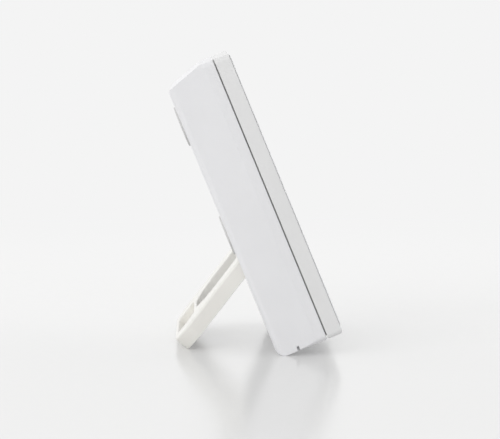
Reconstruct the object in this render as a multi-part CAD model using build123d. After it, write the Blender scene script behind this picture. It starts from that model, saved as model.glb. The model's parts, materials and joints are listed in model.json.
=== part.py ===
from build123d import *
import math
import os

# A portable room thermostat: a slim two-shell case that leans back on a fold-out leg.
# Every piece is drawn with the case upright. X runs across the case, Y from its front
# plane (0) to its back, and Z up from its bottom face. At the end the assembly is leant
# back until the heel of the case and the foot of the open leg stand on one floor.

# Case
case_width = 96.0
case_height = 115.9
case_depth = 27.0
wall = 1.8
front_depth = 6.35
seam_gap = 0.55
seam_depth = 1.5
lip_thickness = 0.8
lip_length = 2.4
lip_clearance = 0.1
top_bend = 12.35
top_slope = 17.9
side_bend = 10.7
side_taper = 1.7
corner_radius = 2.0
front_foot_radius = 1.3
front_head_radius = 0.4
heel_radius = 4.1
back_head_radius = 1.6
back_side_radius = 3.0

# Front window plate
lens_thickness = 1.0
lens_proud = 0.4
lens_margin = 0.6
lens_foot = 3.5
lens_clearance = 0.1
lens_corner = 0.7
window_width = 62.0
window_height = 44.0
window_drop = 41.9
window_corner = 2.0
front_wall = 1.6

# Display stack
glass_width = 66.0
glass_height = 49.0
glass_thickness = 1.1
contact_ledge = 2.6
glass_corner = 0.5
glass_seat = 0.1
frame_rim = 1.2
frame_gap = 0.2
frame_relief = 40.0
guide_thickness = 2.2
guide_gap = 0.2
guide_corner = 1.0
guide_foot = 30.0
strip_thickness = 1.8

# Circuit board
board_front = 8.2
board_thickness = 1.6
board_width = 84.0
board_bottom = 14.0
board_edge = 0.1
board_corner = 1.5
board_screw_inset = 4.5
board_screw_radius = 1.0
board_screw_depth = 4.0
board_head_radius = 1.9
board_head_height = 1.3
board_head_round = 0.5
post_radius = 2.6
screw_bite = 0.03
screw_clearance = 0.2
screw_tip_room = 0.3

# Keys
key_width = 17.0
key_height = 9.0
key_pitch = 24.0
key_z = 28.0
key_clearance = 0.25
key_flange = 0.8
key_flange_gap = 0.15
key_travel = 0.4
key_dish = 0.3
plunger_radius = 1.7
plunger_clearance = 0.1
switch_width = 6.0
switch_height = 3.4
switch_floor = 1.0
switch_chamfer = 0.5

# Battery bay, for two AAA cells side by side across the case
cell_radius = 5.25
cell_length = 44.5
nub_radius = 1.9
nub_height = 0.8
shoulder_radius = 0.6
cell_pitch = 11.2
cell_clearance = 0.35
bay_drop = 43.9
bay_wall = 1.4
cover_thickness = 1.8
cover_lap = 1.6
cover_gap = 0.3
cover_corner = 2.0
cover_tab_width = 6.0
cover_tab_length = 1.5
cover_tab_x = 16.0
cover_seat_gap = 0.05
latch_width = 12.0
latch_length = 7.0
latch_slot = 0.6
finger_radius = 7.0
finger_depth = 1.0
contact_thickness = 0.4
contact_height = 8.5
spring_room = 3.6
spring_height = 6.0
spring_touch = 0.05
tail_width = 3.0
tail_room = 0.2
tail_root = 0.5
cell_to_cover = 0.65

# Fold-out leg
leg_width = 68.0
leg_thickness = 6.4
leg_length = 41.9
leg_corner = 10.0
leg_opening = 60.0
leg_gap = 0.35
leg_bay_clearance = 0.4
leg_bay_wall = 1.6
pivot_z = 39.3
pivot_depth = 1.6
pin_radius = 1.0
pin_length = 2.6
pin_clearance = 0.05
pin_mouth = 1.5
ear_thickness = 3.4
ear_height = 8.0
toe_width = 34.0
toe_land = 2.0
toe_slope = 0.4
toe_touch = 0.05
foot_radius = 1.0
leg_slot_width = 40.0
leg_slot_top = 2.4
leg_slot_foot = 13.7
leg_slot_radius = 14.0
leg_slot_head_radius = 3.0
grip_depth = 3.0
grip_top = 12.0
grip_foot = 2.0
grip_radius = 4.0
leg_edge_round = 1.0
leg_rim_round = 0.6

# Wall fixings on the back
pad_radius = 8.0
pad_proud = 0.77
pad_recess = 0.6
pad_clearance = 0.1
pad_gap = 0.5
pad_low_z = 50.8
pad_high_drop = 19.5
pad_edge = 0.3
keyhole_drop = 23.9
keyhole_radius = 4.2
keyhole_slot_radius = 2.1
keyhole_rise = 6.0

# Case screws
screw_low_x = 40.2
screw_low_z = 8.0
screw_high_x = 18.0
screw_high_gap = 1.1
screw_radius = 1.3
screw_length = 10.0
screw_head_radius = 2.5
screw_head_height = 1.6
screw_head_round = 0.6
screw_seat = 14.0
tube_radius = 3.6
boss_radius = 2.9
boss_meet = 10.0
boss_gap = 0.05
head_clearance = 0.3

# Air slots, in the bottom and high in the back
slot_count = 13
slot_pitch = 3.2
slot_width = 1.3
slot_front = 9.6
slot_back = 16.4
vent_count = 9
vent_drop = 7.4
vent_length = 6.0
notch_y = 18.5
notch_width = 0.9
notch_height = 1.9
notch_run = 5.0

# Board components
chip_x = -14.0
chip_z = 38.0
chip_width = 10.0
chip_height = 1.5
chip_standoff = 0.3
chip_chamfer = 0.5
chip_pins = 9
chip_pin_pitch = 1.0
chip_pin_width = 0.4
chip_pin_height = 0.5
chip_pin_reach = 1.2
radio_x = 14.0
radio_z = 37.0
radio_width = 16.0
radio_length = 22.0
radio_base = 0.8
can_margin = 1.0
can_length = 15.0
can_height = 2.4
can_round = 1.0
crystal_x = -28.0
crystal_z = 34.0
crystal_length = 10.5
crystal_width = 4.4
crystal_height = 3.4
crystal_brim = 0.4
crystal_base = 0.5
capacitor_gap = 0.6
capacitor_low_z = 22.0
capacitor_high_z = 46.0
capacitor_radius = 2.5
capacitor_height = 6.8
capacitor_round = 0.5
bead_radius = 1.3
bead_drop = 5.0
bead_stand = 1.5
lead_root = 3.0
lead_radius = 0.3
lead_spread = 0.8
antenna_x = 27.0
antenna_low = 27.0
antenna_gap = 2.4
antenna_radius = 0.5
antenna_bend = 1.5
antenna_standoff = 3.0

window_z = case_height - window_drop
bay_z = case_height - bay_drop
pad_high_z = case_height - pad_high_drop
keyhole_z = case_height - keyhole_drop
vent_high = case_height - vent_drop
vent_low = vent_high - vent_length
rear_front = front_depth + seam_gap
back_inside = case_depth - wall
front_inside = lens_thickness + front_wall
board_back = board_front + board_thickness
board_top = window_z + glass_height / 2 + frame_gap + frame_rim + board_edge
screw_high_z = board_top + boss_radius + screw_high_gap
pivot_y = case_depth - pivot_depth
slope = math.radians(top_slope)
side_angle = math.atan(side_taper / (case_depth - side_bend))
leg_bay_half = leg_width / 2 + leg_gap
leg_bay_floor = case_depth - leg_thickness - leg_bay_clearance
cell_y = case_depth - cover_thickness - cell_to_cover - cell_radius
bay_floor = cell_y - cell_radius - cell_clearance / 2
bay_half = (cell_length + spring_room + 2 * contact_thickness + cell_clearance) / 2
bay_half_height = cell_pitch / 2 + cell_radius + cell_clearance
bay_bottom = bay_z - bay_half_height
bay_top = bay_z + bay_half_height
cover_half = bay_half + cover_lap
cover_top = bay_top + cover_lap
hinge_z = bay_bottom - cover_lap / 2
hinge_y = case_depth - cover_thickness / 2
bay_outer = cover_half + cover_gap + bay_wall
bay_foot = hinge_z - cover_thickness / 2 - cover_gap - bay_wall
antenna_high = bay_foot - antenna_gap
capacitor_x = -bay_outer - capacitor_gap - capacitor_radius
pad_x = cover_half + cover_gap + pad_gap + pad_radius
glass_front = front_inside + glass_seat
glass_back = glass_front + 2 * glass_thickness
switch_front = board_front - switch_height
plunger_front = switch_front - 2 * key_travel


# Helpers: solids from outlines in the front view, the side view and the plan

def slab(outline, front, back):
    return extrude(Plane.XZ.offset(-front) * outline, amount=back - front, dir=(0, 1, 0))


def across(outline, left, right):
    return extrude(Plane.YZ.offset(left) * outline, amount=right - left, dir=(1, 0, 0))


def upright(outline, bottom, top):
    return extrude(Plane.XY.offset(bottom) * outline, amount=top - bottom, dir=(0, 0, 1))


def block(left, right, front, back, bottom, top):
    size = (right - left, back - front, top - bottom)
    centre = ((left + right) / 2, (front + back) / 2, (bottom + top) / 2)
    return Pos(*centre) * Box(*size)


def rod(radius, x, z, front, back):
    return slab(Pos(x, z) * Circle(radius), front, back)


def rounded(outline, corner, radius):
    vertex = outline.vertices().sort_by_distance(corner)[0]
    return fillet(vertex, radius)


def mirrored(solid):
    return solid + solid.mirror(Plane.YZ)


def outline_box(width, bottom, top, radius):
    shape = RectangleRounded(width, top - bottom, radius)
    return Pos(0, (bottom + top) / 2) * shape


# Case forms, with every wall drawn in by the inset

def side_outline(front, inset):
    back = case_depth - inset
    top = case_height - inset
    bend = top_bend - inset * math.tan(slope / 2)
    back_top = case_height - (back - top_bend) * math.tan(slope) - inset / math.cos(slope)
    corners = [(front, inset), (back, inset), (back, back_top), (bend, top), (front, top)]
    outline = Polygon(*corners, align=None)
    if inset < heel_radius:
        outline = rounded(outline, (back, inset), heel_radius - inset)
    if inset < back_head_radius:
        outline = rounded(outline, (back, back_top), back_head_radius - inset)
    return outline


def plan_outline(front, inset):
    back = case_depth - inset
    half = case_width / 2 - inset
    bend = side_bend - inset * math.tan(side_angle / 2)
    run = (back - side_bend) * math.tan(side_angle)
    back_half = case_width / 2 - run - inset / math.cos(side_angle)
    right = [(half, front), (half, bend), (back_half, back)]
    left = [(-x, y) for x, y in reversed(right)]
    outline = Polygon(*right, *left, align=None)
    if inset < back_side_radius:
        outline = rounded(outline, (back_half, back), back_side_radius - inset)
        outline = rounded(outline, (-back_half, back), back_side_radius - inset)
    return outline


def face_outline(inset):
    radius = max(corner_radius - inset, 0.3)
    return outline_box(case_width - 2 * inset, inset, case_height - inset, radius)


def case_form(front, inset):
    form = across(side_outline(front, inset), -case_width, case_width)
    form = form & upright(plan_outline(front, inset), -case_height, 2 * case_height)
    return form & slab(face_outline(inset), front, case_depth)


def front_form():
    corners = [
        (lens_proud, 0),
        (front_depth, 0),
        (front_depth, case_height),
        (lens_proud, case_height),
    ]
    outline = Polygon(*corners, align=None)
    outline = rounded(outline, (lens_proud, 0), front_foot_radius)
    outline = rounded(outline, (lens_proud, case_height), front_head_radius)
    form = across(outline, -case_width / 2, case_width / 2)
    return form & slab(face_outline(0), 0, front_depth)


# Shared outlines

def lens_outline(clearance):
    width = case_width - 2 * lens_margin + 2 * clearance
    bottom = lens_foot - clearance
    top = case_height - lens_margin + clearance
    return outline_box(width, bottom, top, lens_corner)


def key_outline(x, clearance):
    height = key_height + 2 * clearance
    length = key_width + 2 * clearance
    return Pos(x, key_z) * SlotOverall(length, height)


def key_places():
    return {"minus": -key_pitch, "set": 0.0, "plus": key_pitch}


def board_screw_places():
    x = board_width / 2 - board_screw_inset
    low = board_bottom + board_screw_inset
    high = board_top - board_screw_inset
    return [(-x, low), (x, low), (-x, high), (x, high)]


def case_screw_places():
    low = [(-screw_low_x, screw_low_z), (screw_low_x, screw_low_z)]
    high = [(-screw_high_x, screw_high_z), (screw_high_x, screw_high_z)]
    return low + high


def pad_places():
    return {
        "lower": [(-pad_x, pad_low_z), (pad_x, pad_low_z)],
        "upper": [(-pad_x, pad_high_z), (pad_x, pad_high_z)],
    }


def cell_places():
    return {"lower": bay_z - cell_pitch / 2, "upper": bay_z + cell_pitch / 2}


# Front shell: a shallow tray with a lip that enters the rear shell

def front_lip():
    outer = slab(face_outline(seam_depth), front_depth - front_wall, front_depth + lip_length)
    inner = slab(face_outline(seam_depth + lip_thickness), 0, front_depth + 2 * lip_length)
    return outer - inner


def front_case():
    shell = front_form()
    shell -= slab(face_outline(seam_depth + lip_thickness), front_inside, front_depth + 1)
    shell += front_lip()
    for x, z in case_screw_places():
        shell += rod(boss_radius, x, z, lens_thickness, boss_meet - boss_gap)
    for x, z in board_screw_places():
        shell += rod(post_radius, x, z, lens_thickness, board_front)
    shell -= slab(lens_outline(lens_clearance), -1, lens_thickness)
    window = outline_box(
        window_width,
        window_z - window_height / 2,
        window_z + window_height / 2,
        window_corner,
    )
    shell -= slab(window, 0, front_inside + 1)
    for x in key_places().values():
        shell -= slab(key_outline(x, key_clearance), 0, front_inside + 1)
    for x, z in case_screw_places():
        tip = screw_seat - screw_length - screw_tip_room
        shell -= rod(screw_radius + screw_bite, x, z, tip, boss_meet + 1)
    for x, z in board_screw_places():
        tip = board_front - board_screw_depth - screw_tip_room
        shell -= rod(board_screw_radius + screw_bite, x, z, tip, board_front + 1)
    return shell


def display_lens():
    plate = slab(lens_outline(0), 0, lens_thickness)
    for x in key_places().values():
        plate -= slab(key_outline(x, key_clearance), -1, lens_thickness + 1)
    rim = plate.edges().filter_by(Plane.XZ).group_by(Axis.Y)[0]
    outer = rim.filter_by(lambda edge: edge.center().Z > case_height - 2 * lens_margin)
    return chamfer(outer, lens_proud / 2)


# Display stack between the window and the board

def lcd_panel():
    middle = glass_front + glass_thickness
    half = glass_height / 2
    short = half - contact_ledge
    rear_glass = outline_box(glass_width, window_z - half, window_z + half, glass_corner)
    front_glass = outline_box(glass_width, window_z - short, window_z + short, glass_corner)
    return slab(front_glass, glass_front, middle) + slab(rear_glass, middle, glass_back)


def lcd_frame():
    half_width = glass_width / 2 + frame_gap
    half_height = glass_height / 2 + frame_gap
    outer = outline_box(
        2 * (half_width + frame_rim),
        window_z - half_height - frame_rim,
        window_z + half_height + frame_rim,
        frame_rim,
    )
    inner = outline_box(2 * half_width, window_z - half_height, window_z + half_height, glass_corner)
    frame = slab(outer, glass_front, board_front)
    frame -= slab(inner, glass_front - 1, board_front + 1)
    reach = frame_relief / 2
    relief = block(-reach, reach, glass_back + 1, board_front + 1, 0, case_height)
    return frame - relief


def light_guide():
    half = glass_height / 2 - contact_ledge - guide_gap
    front = glass_back + guide_gap
    plate = outline_box(window_width, window_z - half, window_z + half, guide_corner)
    foot = outline_box(guide_foot, window_z - half / 2, window_z + half / 2, guide_corner)
    return slab(plate, front, front + guide_thickness) + slab(foot, front, board_front)


def zebra_strips():
    strips = []
    for side in (-1, 1):
        z = window_z + side * (glass_height / 2 - contact_ledge / 2)
        half = strip_thickness / 2
        reach = window_width / 2
        strips.append(block(-reach, reach, glass_back, board_front, z - half, z + half))
    return strips


# Circuit board and what it carries

def main_board():
    outline = outline_box(board_width, board_bottom, board_top, board_corner)
    board = slab(outline, board_front, board_back)
    for x, z in board_screw_places():
        board -= rod(board_screw_radius + screw_clearance, x, z, board_front - 1, board_back + 1)
    return board


def controller_chip():
    half = chip_width / 2
    front = board_back + chip_standoff
    body = Pos(chip_x, chip_z) * Rectangle(chip_width, chip_width)
    chip = slab(body, front, board_back + chip_height)
    chip = chamfer(chip.edges().filter_by(Axis.Y), chip_chamfer)
    span = chip_width + 2 * chip_pin_reach
    for step in range(chip_pins):
        along = (step - (chip_pins - 1) / 2) * chip_pin_pitch
        rows = Pos(chip_x, chip_z + along) * Rectangle(span, chip_pin_width)
        columns = Pos(chip_x + along, chip_z) * Rectangle(chip_pin_width, span)
        chip += slab(rows + columns, board_back, board_back + chip_pin_height)
    return chip


def radio_module():
    carrier = Pos(radio_x, radio_z) * Rectangle(radio_width, radio_length)
    can_front = board_back + radio_base
    can_z = radio_z - radio_length / 2 + can_margin + can_length / 2
    can = Pos(radio_x, can_z) * Rectangle(radio_width - 2 * can_margin, can_length)
    can = slab(can, can_front, can_front + can_height)
    can = fillet(can.edges().filter_by(Axis.Y), can_round)
    return slab(carrier, board_back, can_front) + can


def antenna():
    root = (antenna_x, board_back, antenna_low)
    stand = board_back + antenna_standoff
    bend = (antenna_x, stand, antenna_low)
    tip = (antenna_x, stand, antenna_high)
    route = FilletPolyline(root, bend, tip, radius=antenna_bend)
    section = Plane(origin=root, z_dir=(0, 1, 0)) * Circle(antenna_radius)
    return sweep(section, path=route)


def quartz_crystal():
    spot = Pos(crystal_x, crystal_z) * Rot(0, 0, 90)
    can = spot * SlotOverall(crystal_length, crystal_width)
    base = spot * SlotOverall(crystal_length + 2 * crystal_brim, crystal_width + 2 * crystal_brim)
    crystal = slab(can, board_back, board_back + crystal_height)
    return crystal + slab(base, board_back, board_back + crystal_base)


def capacitors():
    cans = []
    for z in (capacitor_low_z, capacitor_high_z):
        can = rod(capacitor_radius, capacitor_x, z, board_back, board_back + capacitor_height)
        cans.append(fillet(can.edges().group_by(Axis.Y)[-1], capacitor_round))
    return cans


def temperature_sensor():
    bead_z = board_bottom - bead_drop
    root_z = board_bottom + lead_root
    y = board_back + bead_stand
    sensor = Pos(0, y, bead_z) * Sphere(bead_radius)
    for x in (-lead_spread, lead_spread):
        root = (x, board_back, root_z)
        route = FilletPolyline(root, (x, y, root_z), (x, y, bead_z), radius=2 * lead_radius)
        section = Plane(origin=root, z_dir=(0, 1, 0)) * Circle(lead_radius)
        sensor += sweep(section, path=route)
    return sensor


def key_switches():
    switches = []
    bore = plunger_radius + plunger_clearance
    for x in key_places().values():
        switch = slab(Pos(x, key_z) * Rectangle(switch_width, switch_width), switch_front, board_front)
        switch = chamfer(switch.edges().filter_by(Axis.Y), switch_chamfer)
        switch -= rod(bore, x, key_z, switch_front - 1, board_front - switch_floor)
        switches.append(switch)
    return switches


def key_plunger(x):
    foot = board_front - switch_floor - 2 * key_travel
    return rod(plunger_radius, x, key_z, plunger_front, foot)


def key_button(x):
    cap = slab(key_outline(x, 0), 0, plunger_front)
    flange_front = front_inside + key_flange_gap
    cap += slab(key_outline(x, key_flange), flange_front, plunger_front)
    reach = key_width / 2
    dish_radius = (reach * reach + key_dish * key_dish) / (2 * key_dish)
    dish = Pos(x, key_dish - dish_radius, key_z) * Cylinder(dish_radius, key_height * 2)
    return cap - dish


def board_screws():
    screws = []
    for x, z in board_screw_places():
        head = rod(board_head_radius, x, z, board_back, board_back + board_head_height)
        head = fillet(head.edges().group_by(Axis.Y)[-1], board_head_round)
        shank = rod(board_screw_radius, x, z, board_front - board_screw_depth, board_back)
        screws.append(head + shank)
    return screws


# Rear shell

def rear_shell():
    shell = case_form(rear_front, 0) - case_form(rear_front - 5, wall)
    rabbet = face_outline(seam_depth - lip_clearance)
    rabbet_back = front_depth + lip_length + lip_clearance
    return shell - slab(rabbet, rear_front - 1, rabbet_back)


def leg_bay_blocks():
    outer = leg_bay_half + leg_bay_wall
    top = pivot_z + pivot_depth + leg_bay_clearance
    front = leg_bay_floor - leg_bay_wall
    tray = block(-outer, outer, front, case_depth, 0, top + leg_bay_wall)
    toe_top = pivot_z + toe_rise() + leg_bay_clearance
    toe_half = toe_width / 2 + leg_gap + leg_bay_wall
    tray += block(-toe_half, toe_half, front, case_depth, pivot_z, toe_top + leg_bay_wall)
    ear = block(
        leg_bay_half,
        leg_bay_half + ear_thickness,
        front,
        case_depth,
        pivot_z - ear_height / 2,
        pivot_z + ear_height / 2,
    )
    return tray + mirrored(ear)


def leg_bay_cuts():
    top = pivot_z + pivot_depth + leg_bay_clearance
    cut = block(-leg_bay_half, leg_bay_half, leg_bay_floor, case_depth + 1, -1, top)
    toe_top = pivot_z + toe_rise() + leg_bay_clearance
    toe_half = toe_width / 2 + leg_gap
    cut += block(-toe_half, toe_half, leg_bay_floor, case_depth + 1, pivot_z, toe_top)
    reach = leg_bay_half + pin_length + leg_gap
    hole = Plane.YZ * Pos(pivot_y, pivot_z) * Circle(pin_radius + pin_clearance)
    cut += extrude(hole, amount=reach, both=True)
    half = pin_mouth / 2
    cut += block(-reach, reach, pivot_y, case_depth + 1, pivot_z - half, pivot_z + half)
    return cut


def battery_block():
    top = cover_top + cover_gap + bay_wall
    return block(-bay_outer, bay_outer, bay_floor - bay_wall, case_depth, bay_foot, top)


def cover_outline(clearance):
    half = cover_half + clearance
    top = cover_top + clearance
    outline = Polygon((-half, hinge_z), (half, hinge_z), (half, top), (-half, top), align=None)
    outline = rounded(outline, (half, top), cover_corner + clearance)
    return rounded(outline, (-half, top), cover_corner + clearance)


def cover_nose(clearance):
    nose = Plane.YZ * Pos(hinge_y, hinge_z) * Circle(cover_thickness / 2 + clearance)
    return extrude(nose, amount=cover_half + clearance, both=True)


def battery_cuts():
    cut = block(-bay_half, bay_half, bay_floor, case_depth + 1, bay_bottom, bay_top)
    seat = case_depth - cover_thickness - cover_seat_gap
    cut += slab(cover_outline(cover_gap), seat, case_depth + 1)
    cut += cover_nose(cover_gap)
    reach = cover_tab_width / 2 + cover_gap
    swing = cover_tab_length + 2 * cover_gap
    for x in (-cover_tab_x, cover_tab_x):
        front = hinge_y - swing
        back = hinge_y + cover_gap
        cut += block(x - reach, x + reach, front, back, hinge_z - swing, bay_bottom + cover_gap)
    half_tail = tail_width / 2 + tail_room
    half_slot = contact_thickness / 2 + tail_room
    for x, z in contact_tail_places():
        tail = Pos(x, z) * Rectangle(2 * half_slot, 2 * half_tail)
        cut += slab(tail, bay_floor - bay_wall - 1, bay_floor + 1)
    return cut


def finger_cut():
    scoop_radius = (finger_radius * finger_radius + finger_depth * finger_depth) / (2 * finger_depth)
    ball = Pos(0, case_depth - finger_depth + scoop_radius, cover_top) * Sphere(scoop_radius)
    keep = block(-finger_radius, finger_radius, 0, case_depth + 1, cover_top, cover_top + finger_radius)
    return ball & keep


def keyhole_cut():
    slot = Pos(0, keyhole_z) * Circle(keyhole_radius)
    slot += Pos(0, keyhole_z + keyhole_rise / 2) * Rectangle(2 * keyhole_slot_radius, keyhole_rise)
    slot += Pos(0, keyhole_z + keyhole_rise) * Circle(keyhole_slot_radius)
    return slab(slot, back_inside - 1, case_depth + 1)


def slot_outline(low, high):
    return outline_box(slot_width, low, high, slot_width / 2 - 0.01)


def slot_places(count):
    return [(step - (count - 1) / 2) * slot_pitch for step in range(count)]


def air_slots():
    slots = []
    for x in slot_places(slot_count):
        slots.append(upright(Pos(x, 0) * slot_outline(slot_front, slot_back), -1, wall + 1))
    for x in slot_places(vent_count):
        outline = Pos(x, 0) * slot_outline(vent_low, vent_high)
        slots.append(slab(outline, back_inside - 1, case_depth + 1))
    return slots


def corner_notches():
    half = notch_width / 2
    outer = case_width / 2 + 1
    notch = block(outer - notch_run, outer, notch_y - half, notch_y + half, -1, notch_height)
    return mirrored(notch)


def rear_case():
    body = rear_shell()
    limit = case_form(rear_front, 0)
    body += leg_bay_blocks() & limit
    body += battery_block() & limit
    for x, z in case_screw_places():
        body += rod(tube_radius, x, z, boss_meet, case_depth - wall / 2)
    body -= leg_bay_cuts()
    body -= battery_cuts()
    body -= finger_cut()
    body -= keyhole_cut()
    body -= corner_notches()
    for slot in air_slots():
        body -= slot
    for x, z in case_screw_places():
        body -= rod(screw_radius + screw_clearance, x, z, boss_meet - 1, screw_seat + 1)
        body -= rod(screw_head_radius + head_clearance, x, z, screw_seat, case_depth + 1)
    for places in pad_places().values():
        for x, z in places:
            body -= rod(pad_radius + pad_clearance, x, z, case_depth - pad_recess, case_depth + 1)
    return body


def rear_pads(places):
    pads = []
    for x, z in places:
        pad = rod(pad_radius, x, z, case_depth - pad_recess, case_depth + pad_proud)
        pads.append(fillet(pad.edges().group_by(Axis.Y)[-1], pad_edge))
    return pads


def case_screws():
    screws = []
    for x, z in case_screw_places():
        head = rod(screw_head_radius, x, z, screw_seat, screw_seat + screw_head_height)
        head = fillet(head.edges().group_by(Axis.Y)[-1], screw_head_round)
        screws.append(head + rod(screw_radius, x, z, screw_seat - screw_length, screw_seat))
    return screws


# Battery bay fittings. The lower cell points right and the upper one left.

def cell(z, direction):
    can_length = cell_length - nub_height
    can = Cylinder(cell_radius, can_length)
    can = fillet(can.edges().filter_by(GeomType.CIRCLE), shoulder_radius)
    can = Pos(0, 0, -nub_height / 2) * can
    can += Pos(0, 0, cell_length / 2 - nub_height) * Cylinder(nub_radius, 2 * nub_height)
    shift = -direction * cell_offset()
    return Pos(-shift, cell_y, z) * Rot(0, direction * 90, 0) * can


def cell_offset():
    return bay_half - cell_length / 2 - 2 * contact_thickness


def contact_tail_places():
    x = bay_half - contact_thickness / 2
    low = bay_z - cell_pitch / 2
    high = bay_z + cell_pitch / 2
    return [(x, low), (x, high), (-x, low)]


def contact_plate(side, bottom, top):
    outer = side * bay_half
    inner = side * (bay_half - contact_thickness)
    left = min(outer, inner)
    right = max(outer, inner)
    return block(left, right, bay_floor, cell_y + contact_height / 2, bottom, top)


def contact_tail(side, z):
    outer = side * bay_half
    inner = side * (bay_half - contact_thickness)
    half = tail_width / 2
    top = bay_floor + tail_root
    return block(min(outer, inner), max(outer, inner), board_back, top, z - half, z + half)


def positive_button(side, z):
    tip = side * (bay_half - 2 * contact_thickness + spring_touch)
    root = side * (bay_half - contact_thickness)
    return across(Pos(cell_y, z) * Circle(nub_radius), min(tip, root), max(tip, root))


def negative_leaf(side, z):
    reach = spring_room - spring_touch
    half = contact_height / 2
    root = bay_half - contact_thickness
    low = (root, cell_y - half)
    tip = (root - reach, cell_y)
    high = (root, cell_y + half)
    bow = ThreePointArc(low, tip, high)
    inner_low = (root, cell_y - half + 2 * contact_thickness)
    inner_tip = (root - reach + contact_thickness, cell_y)
    inner_high = (root, cell_y + half - 2 * contact_thickness)
    hollow = ThreePointArc(inner_high, inner_tip, inner_low)
    edges = [bow, Line(high, inner_high), hollow, Line(inner_low, low)]
    leaf = upright(make_face(edges), z - spring_height / 2, z + spring_height / 2)
    if side < 0:
        leaf = leaf.mirror(Plane.YZ)
    return leaf


def positive_contact():
    z = cell_places()["lower"]
    half = contact_height / 2
    return contact_plate(1, z - half, z + half) + positive_button(1, z) + contact_tail(1, z)


def negative_contact():
    z = cell_places()["upper"]
    half = contact_height / 2
    return contact_plate(1, z - half, z + half) + negative_leaf(1, z) + contact_tail(1, z)


def bridge_contact():
    low = cell_places()["lower"]
    high = cell_places()["upper"]
    half = contact_height / 2
    strip = contact_plate(-1, low - half, high + half)
    return strip + negative_leaf(-1, low) + positive_button(-1, high) + contact_tail(-1, low)


def battery_cover():
    skin_front = case_depth - cover_thickness
    cover = slab(cover_outline(0), skin_front, case_depth)
    cover += cover_nose(0)
    half = cover_tab_width / 2
    for x in (-cover_tab_x, cover_tab_x):
        cover += block(x - half, x + half, skin_front, hinge_y, hinge_z - cover_tab_length, hinge_z)
    for side in (-1, 1):
        x = side * (latch_width + latch_slot) / 2
        slot = Pos(x, cover_top - latch_length / 2) * Rectangle(latch_slot, latch_length)
        cover -= slab(slot, skin_front - 1, case_depth + 1)
    return cover


# Fold-out leg, drawn folded and about its pivot, then swung open

def toe_points():
    reach = leg_thickness - pivot_depth + leg_bay_clearance - toe_touch
    angle = math.radians(180 - leg_opening)
    touch = (reach * math.cos(angle), reach * math.sin(angle))
    tip = (touch[0] + toe_land * math.sin(angle), touch[1] - toe_land * math.cos(angle))
    shoulder = (pivot_depth, tip[1] - (pivot_depth - tip[0]) * toe_slope)
    return touch, tip, shoulder


def toe_rise():
    return toe_points()[1][1]


def leg_side():
    outer = pivot_depth
    inner = pivot_depth - leg_thickness
    corners = [(outer, -leg_length), (outer, pivot_depth), (inner, pivot_depth), (inner, -leg_length)]
    outline = Polygon(*corners, align=None)
    outline = rounded(outline, (inner, -leg_length), foot_radius)
    return rounded(outline, (outer, pivot_depth), pivot_depth - 0.01)


def leg_corner_cut(side):
    size = leg_corner + 2
    centre = (side * (leg_width / 2 - leg_corner), leg_corner - leg_length)
    square = Pos(centre[0] + side * size / 2, centre[1] - size / 2) * Rectangle(size, size)
    return slab(square - Pos(*centre) * Circle(leg_corner), -leg_thickness, leg_thickness)


def leg_plate():
    plate = across(leg_side(), -leg_width / 2, leg_width / 2)
    plate -= leg_corner_cut(-1)
    plate -= leg_corner_cut(1)
    rim = plate.faces().sort_by(Axis.Y)[-1].edges().group_by(Axis.Z)[:-1]
    return fillet([edge for group in rim for edge in group], leg_edge_round)


def leg_toe():
    touch, tip, shoulder = toe_points()
    corners = [(touch[0], 0), touch, tip, shoulder, (pivot_depth, 0)]
    return across(Polygon(*corners, align=None), -toe_width / 2, toe_width / 2)


def leg_slot():
    top = -leg_slot_top
    bottom = -leg_length + leg_slot_foot
    half = leg_slot_width / 2
    outline = Polygon((-half, bottom), (half, bottom), (half, top), (-half, top), align=None)
    outline = rounded(outline, (half, bottom), leg_slot_radius)
    outline = rounded(outline, (-half, bottom), leg_slot_radius)
    outline = rounded(outline, (half, top), leg_slot_head_radius)
    outline = rounded(outline, (-half, top), leg_slot_head_radius)
    return slab(outline, -leg_thickness, leg_thickness)


def leg_grip():
    top = -leg_length + grip_top
    bottom = -leg_length + grip_foot
    outline = outline_box(leg_slot_width, bottom, top, grip_radius)
    return slab(outline, pivot_depth - grip_depth, pivot_depth + 1)


def leg_rims(leg):
    outer = leg.edges().filter_by(lambda edge: abs(edge.bounding_box().min.Y - pivot_depth) < 0.001)
    outer = outer.filter_by(lambda edge: edge.bounding_box().max.Z < 0.001 - leg_slot_top)
    outer = outer.filter_by(lambda edge: edge.bounding_box().min.Z > grip_foot - leg_length - 0.001)
    return outer.filter_by(lambda edge: abs(edge.center().X) < leg_slot_width / 2 + 0.001)


def stand_leg():
    leg = leg_plate() + leg_toe()
    reach = leg_bay_half + pin_length
    leg += extrude(Plane.YZ * Circle(pin_radius), amount=reach, both=True)
    leg -= leg_slot()
    leg -= leg_grip()
    leg = fillet(leg_rims(leg), leg_rim_round)
    return Pos(0, pivot_y, pivot_z) * Rot(leg_opening, 0, 0) * leg


# Stance: the floor is the common tangent of the heel round and the foot round

def lean_angle():
    opening = math.radians(leg_opening)
    foot_along = leg_length - foot_radius
    foot_in = leg_thickness - pivot_depth - foot_radius
    foot_y = pivot_y + foot_along * math.sin(opening) - foot_in * math.cos(opening)
    foot_z = pivot_z - foot_along * math.cos(opening) - foot_in * math.sin(opening)
    run = foot_y - (case_depth - heel_radius)
    rise = foot_z - heel_radius
    drop = math.asin((foot_radius - heel_radius) / math.hypot(run, rise))
    return math.degrees(math.atan2(rise, run) - drop)


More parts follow.
